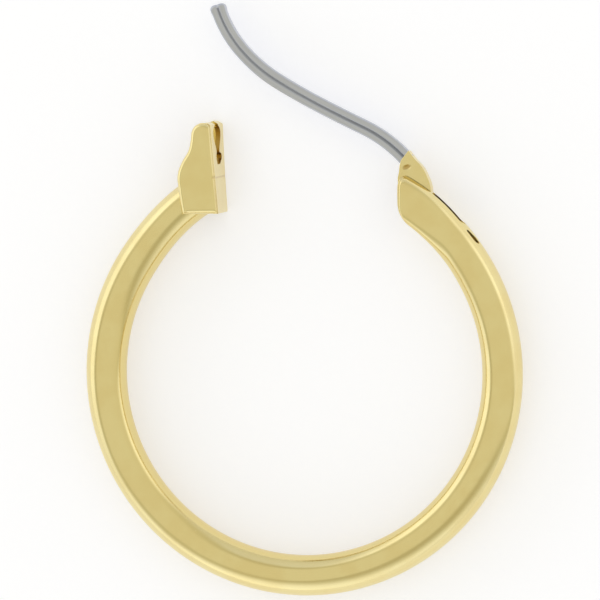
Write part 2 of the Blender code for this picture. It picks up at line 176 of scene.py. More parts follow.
@dataclass
class NodeSheet:
    """A node tree while it is being written.

    Attributes:
        tree: The shader, world or geometry tree.
    """

    tree: bpy.types.NodeTree

    def node(
        self,
        kind: str,
        settings: Mapping[str, object] | None = None,
        sockets: Mapping[str | int, object] | None = None,
    ) -> bpy.types.Node:
        """Adds one node.

        Args:
            kind: The node's type.
            settings: Its settings, set first. "stops" are a ramp's (place, colour) pairs.
            sockets: Values or wires for its input sockets, by name or number.

        Returns:
            The new node.
        """
        made = self.tree.nodes.new(kind)
        for name, value in (settings or {}).items():
            if name == "stops":
                self.set_stops(made, value)
            else:
                setattr(made, name, value)
        for key, value in (sockets or {}).items():
            self.feed(made.inputs[key], value)
        return made

    def set_stops(self, ramp: bpy.types.Node, stops: Sequence[tuple[float, Colour]]) -> None:
        """Gives a colour ramp its stops.

        Args:
            ramp: The ramp's node.
            stops: The places and colours in order.
        """
        elements = ramp.color_ramp.elements
        while len(elements) < len(stops):
            elements.new(1.0)
        for element, (place, colour) in zip(elements, stops):
            element.position = place
            element.color = (*colour, 1.0)

    def feed(self, socket: bpy.types.NodeSocket, value: object) -> None:
        """Links a wire or a node to a socket, or sets the socket's own value.

        Args:
            socket: The input socket.
            value: The wire, node, number, colour or vector.
        """
        if isinstance(value, Wire):
            self.tree.links.new(value.socket, socket)
        elif isinstance(value, bpy.types.Node):
            self.tree.links.new(value.outputs[0], socket)
        elif socket.type == "RGBA":
            socket.default_value = (*value, 1.0)
        else:
            socket.default_value = value

    def wire(self, made: bpy.types.Node, output: str | int = 0) -> Wire:
        """The wire from one of a node's outputs."""
        return Wire(self, made.outputs[output])

    def coordinate(self, kind: str) -> Wire:
        """One of the Texture Coordinate node's outputs."""
        return self.wire(self.node("ShaderNodeTexCoord"), kind)

    def attribute(self, name: str) -> Wire:
        """The number that a mesh attribute holds."""
        return self.wire(self.node("ShaderNodeAttribute", {"attribute_name": name}), "Fac")

    def maths(self, operation: str, *values: Wire | float) -> Wire:
        """A Math node's result for these values."""
        made = self.node("ShaderNodeMath", {"operation": operation}, dict(enumerate(values)))
        return self.wire(made)

    def vector_maths(self, operation: str, *values: object, output: str = "Vector") -> Wire:
        """A Vector Math node's result for these values."""
        made = self.node("ShaderNodeVectorMath", {"operation": operation}, dict(enumerate(values)))
        return self.wire(made, output)

    def scaled(self, vector: object, factor: Wire | float) -> Wire:
        """A vector times a number."""
        sockets = {0: vector, "Scale": factor}
        return self.wire(self.node("ShaderNodeVectorMath", {"operation": "SCALE"}, sockets))

    def vector(self, *parts: Wire | float) -> Wire:
        """The vector of three numbers."""
        return self.wire(self.node("ShaderNodeCombineXYZ", None, dict(enumerate(parts))))

    def mix_colour(self, factor: Wire | float, low: object, high: object) -> Wire:
        """Mixes two colours.

        Args:
            factor: Nought gives the first colour, one the second.
            low: The first colour, or its wire.
            high: The second colour, or its wire.

        Returns:
            The mixed colour's wire.
        """
        made = self.node("ShaderNodeMix", {"data_type": "RGBA"}, {"Factor": factor})
        colours = [socket for socket in made.inputs if socket.type == "RGBA"]
        self.feed(colours[0], low)
        self.feed(colours[1], high)
        result = next(socket for socket in made.outputs if socket.type == "RGBA")
        return Wire(self, result)

    def noise(
        self, place: Wire, size: float, detail: float = 2.0, roughness: float = 0.5
    ) -> Wire:
        """Noise whose patches are about one size across.

        Args:
            place: The coordinate that it follows, in metres.
            size: The size of a patch in metres.
            detail: How many finer layers it has.
            roughness: How strong those layers are.

        Returns:
            The noise, about nought to one.
        """
        made = self.node(
            "ShaderNodeTexNoise",
            {"noise_dimensions": "3D"},
            {"Vector": place, "Scale": 1 / size, "Detail": detail, "Roughness": roughness},
        )
        return self.wire(made, "Fac")

    def bump(self, height: Wire, distance: float, under: Wire | None = None) -> Wire:
        """A Bump node's normal.

        Args:
            height: The height, nought to one.
            distance: The height of one in metres.
            under: A normal to start from.

        Returns:
            The normal's wire.
        """
        made = self.node("ShaderNodeBump", None, {"Height": height, "Distance": distance})
        if under is not None:
            self.feed(made.inputs["Normal"], under)
        return self.wire(made, "Normal")

    def stored(
        self,
        geometry: bpy.types.Node,
        name: str,
        value: Wire,
        kind: str = "FLOAT",
        domain: str = "POINT",
    ) -> bpy.types.Node:
        """Keeps a value on a geometry as a named attribute.

        Args:
            geometry: The node that gives the geometry.
            name: The attribute's name.
            value: Its value.
            kind: Its data type.
            domain: What it is kept on.

        Returns:
            The node that gives the geometry with the attribute.
        """
        return self.node(
            "GeometryNodeStoreNamedAttribute",
            {"data_type": kind, "domain": domain},
            {"Geometry": geometry, "Name": name, "Value": value},
        )


def principled(name: str) -> tuple[bpy.types.Material, NodeSheet, bpy.types.NodeInputs]:
    """A new material with one Principled shader.

    Args:
        name: The material's name.

    Returns:
        The material, its node sheet and the shader's inputs.
    """
    material = bpy.data.materials.new(name)
    material.use_nodes = True
    shader = material.node_tree.nodes["Principled BSDF"]
    return material, NodeSheet(material.node_tree), shader.inputs


@dataclass(frozen=True)
class GoldPlate:
    """Polished pale gold plate, with soft waves, fine polishing lines and small pits, and painted
    shade on marked faces and along the hoop's inner side.

    Attributes:
        name: The material's name.
        colour: The metal's colour where it is clean, linear.
        worn: Its colour where the plate is a little duller, linear.
        deep: A darker colour painted along the hoop's inner side as painted shade, linear.
        painted_shade_colour: The dark orange-brown of the painted shade on marked faces, linear.
        roughness: The polish at its best.
        dulling: How much rougher the dull patches are.
        grain_dulling: How much rougher the grain is.
        pit_dulling: How much rougher the pits are.
        shade_mark_dulling: How much rougher the faces marked for painted shade are.
        patch_size: The size of a dull patch in metres.
        patch_band: The noise between which a dull patch sets in.
        grain_size: The size of the fine grain in metres.
        pit_size: The size of a pit in metres.
        pit_band: The noise between which a pit sets in.
        pit_share: A pit's depth against the grain's height.
        fine_height: The height of the grain in metres.
        wave: The height of the soft waves in metres.
        wave_size: The size of one wave in metres.
    """

    name: str = "pale gold plate"
    colour: Colour = (0.83, 0.71, 0.35)
    worn: Colour = (0.81, 0.675, 0.317)
    deep: Colour = (0.79, 0.655, 0.295)
    painted_shade_colour: Colour = (0.46, 0.28, 0.055)
    roughness: float = 0.10
    dulling: float = 0.05
    grain_dulling: float = 0.05
    pit_dulling: float = 0.10
    shade_mark_dulling: float = 0.2
    patch_size: float = 0.0022
    patch_band: Band = (0.35, 0.68)
    grain_size: float = 0.00012
    pit_size: float = 0.00020
    pit_band: Band = (0.30, 0.22)
    pit_share: float = 0.6
    fine_height: float = 0.0000012
    wave: float = 0.000007
    wave_size: float = 0.0016

    def material(self) -> bpy.types.Material:
        """Writes the material."""
        material, sheet, shader = principled(self.name)
        place = sheet.coordinate("Object")
        patches = sheet.noise(place, self.patch_size, 3.0, 0.55).smooth(*self.patch_band)
        grain = sheet.noise(place, self.grain_size, 4.0, 0.65)
        pits = sheet.noise(place, self.pit_size, 1.0).smooth(*self.pit_band)
        waves = sheet.noise(place, self.wave_size, 1.0)
        # This mask marks the faces that take painted shade: the hinge rim, the catch's keyhole
        # walls, fold line and crease, and the lever's dimple.
        cut = sheet.attribute(PAINTED_SHADE_MARK)
        outer_plate = sheet.mix_colour(patches, self.colour, self.worn)
        # The hoop's inner side takes a darker colour: painted shade.
        plate = sheet.mix_colour(sheet.attribute(PAINTED_INNER_SHADE), outer_plate, self.deep)
        rough = self.roughness + self.dulling * patches + self.grain_dulling * grain
        rough = rough + self.pit_dulling * pits + self.shade_mark_dulling * cut
        soft = sheet.bump(waves, self.wave)
        fine = sheet.bump(grain - self.pit_share * pits, self.fine_height, soft)
        # Marked faces take the dark orange-brown painted shade.
        sheet.feed(shader["Base Color"], sheet.mix_colour(cut, plate, self.painted_shade_colour))
        sheet.feed(shader["Roughness"], rough)
        sheet.feed(shader["Normal"], fine)
        shader["Metallic"].default_value = 1.0
        return material


@dataclass(frozen=True)
class DrawnSteel:
    """Drawn steel wire, with lines along its length.

    Attributes:
        name: The material's name.
        colour: The steel's colour, linear.
        roughness: Its roughness at its best.
        lines: How many drawing lines there are across the section's girth.
        breaks: How many times a line breaks along the post.
        line_band: The noise between which a line darkens.
        line_strength: How much of the darker colour a line takes.
        line_colour: The darker colour against the plain one.
        line_dulling: How much rougher the lines are.
        line_height: Their height in metres.
        patch_size: The size of a dull patch in metres.
        patch_band: The noise between which it sets in.
        patch_dulling: How much rougher it is.
    """

    name: str = "drawn steel"
    colour: Colour = (0.56, 0.578, 0.63)
    roughness: float = 0.26
    lines: float = 90.0
    breaks: float = 6.0
    line_band: Band = (0.35, 0.75)
    line_strength: float = 0.6
    line_colour: float = 0.82
    line_dulling: float = 0.12
    line_height: float = 0.000003
    patch_size: float = 0.0018
    patch_band: Band = (0.35, 0.7)
    patch_dulling: float = 0.06

    def material(self) -> bpy.types.Material:
        """Writes the material."""
        material, sheet, shader = principled(self.name)
        stretch = (self.lines, self.breaks, 0.0)
        along = sheet.vector_maths("MULTIPLY", sheet.coordinate("UV"), stretch)
        lines = sheet.noise(along, 1.0, 3.0, 0.6)
        patches = sheet.noise(sheet.coordinate("Object"), self.patch_size, 3.0, 0.6)
        dull = self.patch_dulling * patches.smooth(*self.patch_band)
        darker = tuple(self.line_colour * channel for channel in self.colour)
        share = lines.smooth(*self.line_band) * self.line_strength
        sheet.feed(shader["Base Color"], sheet.mix_colour(share, self.colour, darker))
        sheet.feed(shader["Roughness"], self.roughness + self.line_dulling * lines + dull)
        sheet.feed(shader["Normal"], sheet.bump(lines, self.line_height))
        shader["Metallic"].default_value = 1.0
        return material


@dataclass(frozen=True)
class StudioPaper:
    """Matt near-white paper under the earring.

    Attributes:
        name: The material's name.
        colour: The paper's colour, linear.
        glow: Light that the paper adds by itself, so that it stays pale.
        fibre_size: The size of a fibre in metres.
        fibre_height: Its height in metres.
        fibre_colour: Its colour against the paper's.
        roughness: The paper's roughness.
        gloss: Its specular level.
    """

    name: str = "studio paper"
    colour: Colour = (0.84, 0.84, 0.84)
    glow: Colour = (0.33, 0.34, 0.40)
    fibre_size: float = 0.0006
    fibre_height: float = 0.00001
    fibre_colour: float = 0.985
    roughness: float = 0.9
    gloss: float = 0.1

    def material(self) -> bpy.types.Material:
        """Writes the material."""
        material, sheet, shader = principled(self.name)
        fibres = sheet.noise(sheet.coordinate("Object"), self.fibre_size, 4.0, 0.6)
        darker = tuple(self.fibre_colour * channel for channel in self.colour)
        sheet.feed(shader["Base Color"], sheet.mix_colour(fibres, self.colour, darker))
        sheet.feed(shader["Normal"], sheet.bump(fibres, self.fibre_height))
        shader["Roughness"].default_value = self.roughness
        shader["Specular IOR Level"].default_value = self.gloss
        shader["Emission Color"].default_value = (*self.glow, 1.0)
        shader["Emission Strength"].default_value = 1.0
        return material


@dataclass(frozen=True)
class OutlinePoint:
    """One point of a flat outline, in metres or as shares of a size.

    Attributes:
        across: Its place along X.
        along: Its place along Y.
        corner: How the outline passes through it.
    """

    across: float
    along: float
    corner: Corner = Corner.SMOOTH

    def scaled(self, across: float, along: float) -> "OutlinePoint":
        """This point with its shares turned into metres."""
        return OutlinePoint(self.across * across, self.along * along, self.corner)


def mesh_piece(name: str, data: bpy.types.ID) -> bpy.types.Object:
    """Links a mesh or a curve as a new object at the origin."""
    piece = bpy.data.objects.new(name, data)
    bpy.context.scene.collection.objects.link(piece)
    return piece


def mesh_from(shape: bmesh.types.BMesh, name: str) -> bpy.types.Mesh:
    """Writes a bmesh to a new mesh and frees it."""
    mesh = bpy.data.meshes.new(name)
    shape.to_mesh(mesh)
    shape.free()
    return mesh


def plain_mesh(item: bpy.types.Object) -> bpy.types.Mesh:
    """The plain mesh that an object's modifiers or curve make, under the object's name."""
    bpy.context.view_layer.update()
    graph = bpy.context.evaluated_depsgraph_get()
    mesh = bpy.data.meshes.new_from_object(item.evaluated_get(graph))
    mesh.name = item.name
    return mesh


def apply_modifiers(piece: bpy.types.Object) -> None:
    """Gives a piece the mesh that its modifiers make, and removes them."""
    mesh = plain_mesh(piece)
    piece.modifiers.clear()
    piece.data = mesh


def tidy_mesh(mesh: bpy.types.Mesh, merge: float = 1e-8, fill: bool = False) -> None:
    """Merges doubled points and turns all faces outwards.

    Args:
        mesh: The mesh to tidy.
        merge: The distance within which points are merged.
        fill: Whether open rings are closed first.
    """
    shape = bmesh.new()
    shape.from_mesh(mesh)
    bmesh.ops.remove_doubles(shape, verts=shape.verts, dist=merge)
    if fill:
        rims = [edge for edge in shape.edges if edge.is_boundary]
        bmesh.ops.holes_fill(shape, edges=rims)
    bmesh.ops.recalc_face_normals(shape, faces=shape.faces)
    shape.to_mesh(mesh)
    shape.free()


def finish_piece(
    piece: bpy.types.Object,
    place: Matrix,
    material: bpy.types.Material,
    sharp: float = 35.0,
) -> None:
    """Moves a piece's mesh to its place, shades it smooth and gives it its material.

    Args:
        piece: The piece.
        place: The place.
        material: The material.
        sharp: The angle in degrees past which an edge stays sharp.
    """
    mesh = piece.data
    mesh.transform(place)
    mesh.shade_smooth()
    mesh.set_sharp_from_angle(angle=math.radians(sharp))
    mesh.materials.clear()
    mesh.materials.append(material)


def plate_mesh(
    name: str,
    points: Sequence[OutlinePoint],
    thickness: float,
    steps: int = 14,
    rounding: float = 0.0,
) -> bpy.types.Mesh:
    """A flat plate in XY, centred on its own plane.

    Args:
        name: The mesh's name.
        points: The closed outline.
        thickness: The plate's thickness.
        steps: Segments between two points.
        rounding: Radius of its rounded edges.

    Returns:
        The closed mesh.
    """
    curve = bpy.data.curves.new(name, "CURVE")
    curve.dimensions = "2D"
    curve.fill_mode = "BOTH"
    curve.resolution_u = steps
    curve.extrude = thickness / 2 - rounding
    curve.bevel_depth = rounding
    curve.bevel_resolution = EDGE_SEGMENTS
    curve.offset = -rounding
    spline = curve.splines.new("BEZIER")
    spline.bezier_points.add(len(points) - 1)
    spline.use_cyclic_u = True
    for knot, point in zip(spline.bezier_points, points):
        knot.co = (point.across, point.along, 0)
        knot.handle_left_type = point.corner.value
        knot.handle_right_type = point.corner.value
    outlined = mesh_piece(name, curve)
    mesh = plain_mesh(outlined)
    bpy.data.objects.remove(outlined)
    tidy_mesh(mesh)
    return mesh


def cylinder_mesh(name: str, radius: float, length: float) -> bpy.types.Mesh:
    """A cylinder along Z about its own middle."""
    sizes = {"radius1": radius, "radius2": radius, "depth": length}
    shape = bmesh.new()
    bmesh.ops.create_cone(shape, cap_ends=True, segments=CYLINDER_SIDES, **sizes)
    return mesh_from(shape, name)


def combine(
    piece: bpy.types.Object,
    mesh: bpy.types.Mesh,
    place: Matrix,
    operation: str = "DIFFERENCE",
) -> None:
    """Cuts a piece with a mesh, or keeps what the two share.

    Args:
        piece: The piece, whose mesh is replaced.
        mesh: The cutting mesh.
        place: Where the cutting mesh goes.
        operation: The Boolean's operation.
    """
    mesh.transform(place)
    cutter = mesh_piece("cutter", mesh)
    boolean = piece.modifiers.new("cut", "BOOLEAN")
    boolean.operation = operation
    boolean.solver = "EXACT"
    boolean.object = cutter
    apply_modifiers(piece)
    bpy.data.objects.remove(cutter)


def round_over(piece: bpy.types.Object, voxel: float, times: int) -> None:
    """Rounds the edges of a closed piece.

    Args:
        piece: The piece.
        voxel: The remesh's grain.
        times: How many times it is smoothed.
    """
    remesh = piece.modifiers.new("grain", "REMESH")
    remesh.mode = "VOXEL"
    remesh.voxel_size = voxel
    smooth = piece.modifiers.new("round", "SMOOTH")
    smooth.factor = 0.5
    smooth.iterations = times
    apply_modifiers(piece)


def outward_at(angle: float) -> Vector:
    """The direction at an angle from +X towards +Y."""
    return Vector((math.cos(angle), math.sin(angle), 0))


def leaning(degrees: float) -> Matrix:
    """A turn about Z."""
    return Matrix.Rotation(math.radians(degrees), 4, "Z")


@dataclass
class SkinTree:
    """A geometry tree that moves a flat grid's points into a closed skin.

    Attributes:
        sheet: The tree while it is being written.
        given: The wires of its named inputs.
        grid: The grid's node.
        along: The grid's X, from minus a half to a half.
        turn: The turn round the section, from the grid's Y.
    """

    sheet: NodeSheet
    given: dict[str, Wire]
    grid: bpy.types.Node
    along: Wire
    turn: Wire

    @classmethod
    def start(cls, name: str, sizes: Mapping[str, float], rows: int, around: int) -> "SkinTree":
        """Begins a tree with its named inputs and its grid.

        Args:
            name: The tree's name.
            sizes: The named inputs' values.
            rows: Steps along the skin.
            around: Steps round its section.

        Returns:
            The tree so far.
        """
        tree = bpy.data.node_groups.new(name, "GeometryNodeTree")
        sockets = tree.interface
        sockets.new_socket("Geometry", in_out="INPUT", socket_type="NodeSocketGeometry")
        for label, value in sizes.items():
            made = sockets.new_socket(label, in_out="INPUT", socket_type="NodeSocketFloat")
            made.default_value = value
        sockets.new_socket("Geometry", in_out="OUTPUT", socket_type="NodeSocketGeometry")
        sheet = NodeSheet(tree)
        source = sheet.node("NodeGroupInput")
        given = {label: sheet.wire(source, label) for label in ("Geometry", *sizes)}
        counts = {"Vertices X": rows + 1, "Vertices Y": around + 1}
        grid = sheet.node("GeometryNodeMeshGrid", None, {"Size X": 1.0, "Size Y": 1.0, **counts})
        place = sheet.node("GeometryNodeInputPosition")
        spot = sheet.node("ShaderNodeSeparateXYZ", None, {0: place})
        turn = (sheet.wire(spot, "Y") + SEAM) * (2 * math.pi)
        return cls(sheet, given, grid, sheet.wire(spot, "X"), turn)

    def end(
        self,
        position: Wire,
        pattern: Wire,
        marks: Mapping[str, Wire],
        merge: float,
        material: bpy.types.Material,
    ) -> None:
        """Stores what the material reads on the flat grid, bends it and closes it.

        Args:
            position: Where each point goes.
            pattern: The UV map.
            marks: Numbers to keep on the points, by attribute name.
            merge: The distance within which points are merged.
            material: The skin's material.
        """
        skin = self.sheet.stored(self.grid, "UVMap", pattern, "FLOAT2", "CORNER")
        for name, value in marks.items():
            skin = self.sheet.stored(skin, name, value)
        for kind, sockets in (
            ("GeometryNodeSetPosition", {"Position": position}),
            ("GeometryNodeMergeByDistance", {"Distance": merge}),
            ("GeometryNodeRealizeInstances", {}),
            ("GeometryNodeSetMaterial", {"Material": material}),
        ):
            skin = self.sheet.node(kind, None, {"Geometry": skin, **sockets})
        self.sheet.node("NodeGroupOutput", None, {0: skin})

    def shape(self, piece: bpy.types.Object, sizes: Mapping[str, float]) -> bpy.types.Mesh:
        """Runs the tree on an object.

        Args:
            piece: The object, whose modifier is removed again.
            sizes: The named inputs' values.

        Returns:
            The plain mesh.
        """
        bend = piece.modifiers.new("bend", "NODES")
        bend.node_group = self.sheet.tree
        for item in self.sheet.tree.interface.items_tree:
            if item.in_out == "INPUT" and item.name in sizes:
                bend[item.identifier] = sizes[item.name]
        mesh = plain_mesh(piece)
        piece.modifiers.clear()
        return mesh


@dataclass
class Finishes:
    """The materials that the pieces share.

    Attributes:
        gold: The plate on the tube, the catch and the lever.
        steel: The steel of the post and the pin.
    """

    gold: bpy.types.Material
    steel: bpy.types.Material


@dataclass
class Hoop:
    """The ring that everything is placed from.

    Attributes:
        diameter: Outer diameter of the hoop.
        tube: Diameter of its tube.
        end_spread: How far the hinge end stands outside the circle.
        catch_spread: How far the catch end stands outside it.
        hinge_end_x: Where the hinge end is cut off, from the hoop's centre.
        pivot_inset: How far the hinge pin lies inside that cut.
        catch_x: Where the catch's foot is, from the hoop's centre.
        catch_drop: How far that foot lies inside the tube's inner edge.
        catch_lean: The catch's lean in degrees.
    """

    diameter: float = 0.0300
    tube: float = 0.00275
    end_spread: float = 0.00012
    catch_spread: float = 0.00024
    hinge_end_x: float = 0.0067
    pivot_inset: float = 0.00112
    catch_x: float = -0.00554
    catch_drop: float = 0.00038
    catch_lean: float = 5.2

    @property
    def radius(self) -> float:
        """Radius of the tube's centre line."""
        return (self.diameter - self.tube) / 2

    @property
    def end_radius(self) -> float:
        """Radius of the centre line at the hinge end."""
        return self.radius + self.end_spread

    def on_circle(self, x: float, radius: float) -> Vector:
        """The point at x on the upper half of a circle round the centre."""
        return Vector((x, math.sqrt(radius**2 - x**2), 0))

    def skin_radius(self, from_hinge: float, spread_length: float) -> float:
        """Radius of the tube's outermost line.

        Args:
            from_hinge: Distance from the hinge end.
            spread_length: Length over which the end leaves the circle.

        Returns:
            The radius.
        """
        part = min(max(from_hinge / spread_length, 0.0), 1.0)
        gone = part * part * (3 - 2 * part)
        return self.radius + self.end_spread * (1 - gone) + self.tube / 2

    @property
    def pivot(self) -> Vector:
        """The hinge pin's middle, from the hoop's centre."""
        return self.on_circle(self.hinge_end_x + self.pivot_inset, self.end_radius)

    @property
    def catch_foot(self) -> Vector:
        """The foot of the catch's end panel, from the hoop's centre."""
        return self.on_circle(self.catch_x, self.end_radius - self.tube / 2 - self.catch_drop)

    @property
    def centre(self) -> Vector:
        """The hoop's centre in the frame, from the hinge joint's place."""
        return Vector(frame["joints"][0]["pos_m"]) - self.pivot


@dataclass
class HoopTube:
    """The hollow tube with its slotted, flattened hinge end.

    Attributes:
        hoop: The ring's sizes.
        wall: Wall thickness.
        mouth: What the opening takes off the whole circle, along the centre line.
        spread_length: Length over which the ends leave the circle.
        end_corner: Rounding of the hinge end's corners, seen from the side.
        corner_power: How square those corners are.
        flatten_length: Length over which the hinge end goes flat.
        flatten_power: The hinge end's section, from 2, round, to a square.
        end_rounding: Length over which the flat faces curve down to the hinge end.
        end_droop: How far they curve down, as a share of the tube's radius.
        slot_length: Length of the slot along the centre line.
        slot_width: Width of the slot.
        bridge: Length of the narrow bridge between the slot and the slit.
        slit_length: Length of the slit.
        slit_width: Width of the slit.
        slit_offset: How far the slit's middle lies above the slot's.
        slit_skew: How far it is turned out of the tube's direction, in degrees.
        slit_outline: Its shape, as shares of its length and width.
        lip: Thickness that the wall is thinned to round the slot and the slit.
        lip_width: Length over which that thinning fades out.
        lip_band: Cosines of the turn between which it sets in.
        pinch: How far the slot's far lip is pressed in.
        pinch_side: Sines of the turn between which that ends towards the near lip.
        pinch_band: Cosines of the turn between which it sets in.
        shade_from: Shares of the hinge end's rim between which the painted shade sets in.
        shade_to: Shares of that rim between which it ends.
        inner_shade_band: Cosines of the turn, inwards, between which the painted inner shade sets
            in.
        catch_gap: Gap between the tube's end and the inside of the catch's end panel.
        catch_sheet: Thickness of that panel.
        around: Points round the tube.
        outer_steps: Rings along the outside.
        inner_steps: Rings along the bore.
        rim_steps: Rings over the rounded rim of each end.
    """

    hoop: Hoop
    wall: float = 0.00025
    mouth: float = 0.013
    spread_length: float = 0.0070
    end_corner: float = 0.00045
    corner_power: float = 4.0
    flatten_length: float = 0.0048
    flatten_power: float = 4.0
    end_rounding: float = 0.00024
    end_droop: float = 0.13
    slot_length: float = 0.0045
    slot_width: float = 0.0010
    bridge: float = 0.0003
    slit_length: float = 0.0012
    slit_width: float = 0.00043
    slit_offset: float = 0.000415
    slit_skew: float = 9.0
    slit_outline: tuple[OutlinePoint, ...] = (
        OutlinePoint(-0.50, -0.20, Corner.SHARP),
        OutlinePoint(-0.50, 0.20, Corner.SHARP),
        OutlinePoint(-0.10, 0.38),
        OutlinePoint(0.36, 0.40),
        OutlinePoint(0.50, 0.00),
        OutlinePoint(0.36, -0.40),
        OutlinePoint(-0.10, -0.38),
    )
    lip: float = 0.00010
    lip_width: float = 0.00040
    lip_band: Band = (0.76, 0.88)
    pinch: float = 0.00009
    pinch_side: Band = (-0.35, 0.15)
    pinch_band: Band = (0.2, 0.8)
    shade_from: Band = (0.0, 0.05)
    shade_to: Band = (0.58, 0.72)
    inner_shade_band: Band = (0.35, 0.85)
    catch_gap: float = 0.00015
    catch_sheet: float = 0.00033
    around: int = 72
    outer_steps: int = 420
    inner_steps: int = 140
    rim_steps: int = 8

    @property
    def openings_length(self) -> float:
        """Length of the slot, the bridge and the slit together."""
        return self.slot_length + self.bridge + self.slit_length

    @property
    def hinge_angle(self) -> float:
        """The angle of the middle of the hinge end's cut."""
        return math.acos(self.hoop.hinge_end_x / self.hoop.end_radius)

    def catch_plane(self) -> float:
        """Distance of the catch end's cut from the hoop's centre, square to the leaning panel."""
        lean = math.radians(self.hoop.catch_lean)
        foot = self.hoop.catch_foot
        distance = foot.x * math.cos(lean) + foot.y * math.sin(lean)
        return distance - self.catch_sheet - self.catch_gap

    def sizes(self) -> dict[str, float]:
        """The named inputs of the tube's node tree."""
        return {
            "Hoop Radius": self.hoop.radius,
            "End Spread": self.hoop.end_spread,
            "Catch Spread": self.hoop.catch_spread,
            "Tube Radius": self.hoop.tube / 2,
            "Wall": self.wall,
            "Lip": self.lip,
            "Pinch": self.pinch,
            "Spread Length": self.spread_length,
            "Hinge End": self.hoop.hinge_end_x,
            "End Corner": self.end_corner,
            "Flatten Length": self.flatten_length,
            "Flatten Power": self.flatten_power,
            "End Rounding": self.end_rounding,
            "End Droop": self.end_droop,
            "Catch Plane": self.catch_plane(),
            "Catch Lean": math.radians(self.hoop.catch_lean),
        }

    def skin(self, material: bpy.types.Material) -> SkinTree:
        """Writes the tree that bends a grid into the tube, outside, rims and bore.

        Args:
            material: The tube's material.

        Returns:
            The finished tree.
        """
        counts = (self.outer_steps, self.rim_steps, self.inner_steps, self.rim_steps)
        tree = SkinTree.start("hoop tube", self.sizes(), sum(counts), self.around)
        given, turn = tree.given, tree.turn
        row = (tree.along + 0.5) * float(sum(counts))
        stretches = []
        for index, count in enumerate(counts):
            past = row - float(sum(counts[:index]))
            stretches.append((past / float(count)).clamped())
        outside, catch_rim, inside, hinge_rim = stretches
        share = (outside - inside) ** CROWDING

        length = given["Hoop Radius"] * (2 * math.pi) - self.mouth
        from_hinge = share * length
        from_catch = (1 - share) * length
        flat = 1 - (from_hinge / given["Flatten Length"]).smooth(0.0, 1.0)
        at_end = 1 - (from_hinge / given["End Rounding"]).clamped()
        droop = 1 - given["End Droop"] * (1 - (1 - at_end * at_end) ** 0.5)
        power = ROUND + (given["Flatten Power"] - ROUND) * flat
        hinge_share = 1 - (from_hinge / given["Spread Length"]).smooth(0.0, 1.0)
        catch_share = 1 - (from_catch / given["Spread Length"]).smooth(0.0, 1.0)
        spread = given["End Spread"] * hinge_share + given["Catch Spread"] * catch_share

        past_slit = from_hinge.smooth(self.openings_length, self.openings_length + self.lip_width)
        thin = (1 - past_slit) * turn.cosine().smooth(*self.lip_band)
        wall = given["Wall"] + (given["Lip"] - given["Wall"]) * thin

        def rise(rim: Wire) -> Wire:
            """How deep in the wall a rim is, from nought at its start to one at its end."""
            return 0.5 - 0.5 * (rim * math.pi).cosine()

        tube_radius = given["Tube Radius"] - wall * (rise(catch_rim) - rise(hinge_rim))

        def section(part: Wire) -> Wire:
            """One coordinate of the section, between a circle and a square."""
            return part.sign() * abs(part) ** (ROUND / power) * tube_radius

        far_half = 1 - turn.sine().smooth(*self.pinch_side)
        slot_edge = (self.slot_length - self.lip_width, self.slot_length + self.bridge)
        pinched = far_half * (1 - from_hinge.smooth(*slot_edge))
        pinched = given["Pinch"] * pinched * turn.cosine().smooth(*self.pinch_band)
        out = section(turn.cosine()) - pinched
        up = section(turn.sine()) * droop
        reach = given["Hoop Radius"] + spread + out
        rim = given["Wall"] * 0.5
        corner = given["End Corner"] * abs(out / given["Tube Radius"]) ** self.corner_power
        hinge_cut = given["Hinge End"] + corner + rim - (hinge_rim * math.pi).sine() * rim
        catch_cut = given["Catch Plane"] - rim + (catch_rim * math.pi).sine() * rim
        hinge_angle = (hinge_cut / reach).arc_cosine()
        catch_angle = given["Catch Lean"] + (catch_cut / reach).arc_cosine() - 2 * math.pi
        angle = hinge_angle + share * (catch_angle - hinge_angle)
        marks = {
            # The hinge end's rim takes painted shade: the dark line where the lever passes under
            # the wall.
            PAINTED_SHADE_MARK: hinge_rim.smooth(*self.shade_from) * (1 - hinge_rim.smooth(*self.shade_to)),
            # How much painted shade the inner side takes.
            PAINTED_INNER_SHADE: (0.0 - turn.cosine()).smooth(*self.inner_shade_band),
        }
        bent = tree.sheet.vector(reach * angle.cosine(), reach * angle.sine(), up)
        pattern = tree.sheet.vector(from_hinge, turn * given["Tube Radius"], 0.0)
        tree.end(bent, pattern, marks, 1e-7, material)
        return tree

    def sector_mesh(self, start: float, end: float) -> bpy.types.Mesh:
        """A cutter as wide as the slot, from the tube's centre line outwards.

        Args:
            start: The angle where it starts.
            end: The angle where it ends.

        Returns:
            The closed mesh.
        """
        inner = self.hoop.end_radius
        rim, bore = [], []
        for step in range(SECTOR_STEPS + 1):
            angle = end + (start - end) * step / SECTOR_STEPS
            from_hinge = (self.hinge_angle - angle) * inner
            outer = self.hoop.skin_radius(from_hinge, self.spread_length) + self.hoop.tube / 2
            for points, radius in ((rim, outer), (bore, inner)):
                spot = (radius * math.cos(angle), radius * math.sin(angle))
                points.append(OutlinePoint(*spot, Corner.SHARP))
        return plate_mesh("sector", rim + bore[::-1], self.slot_width, 1)

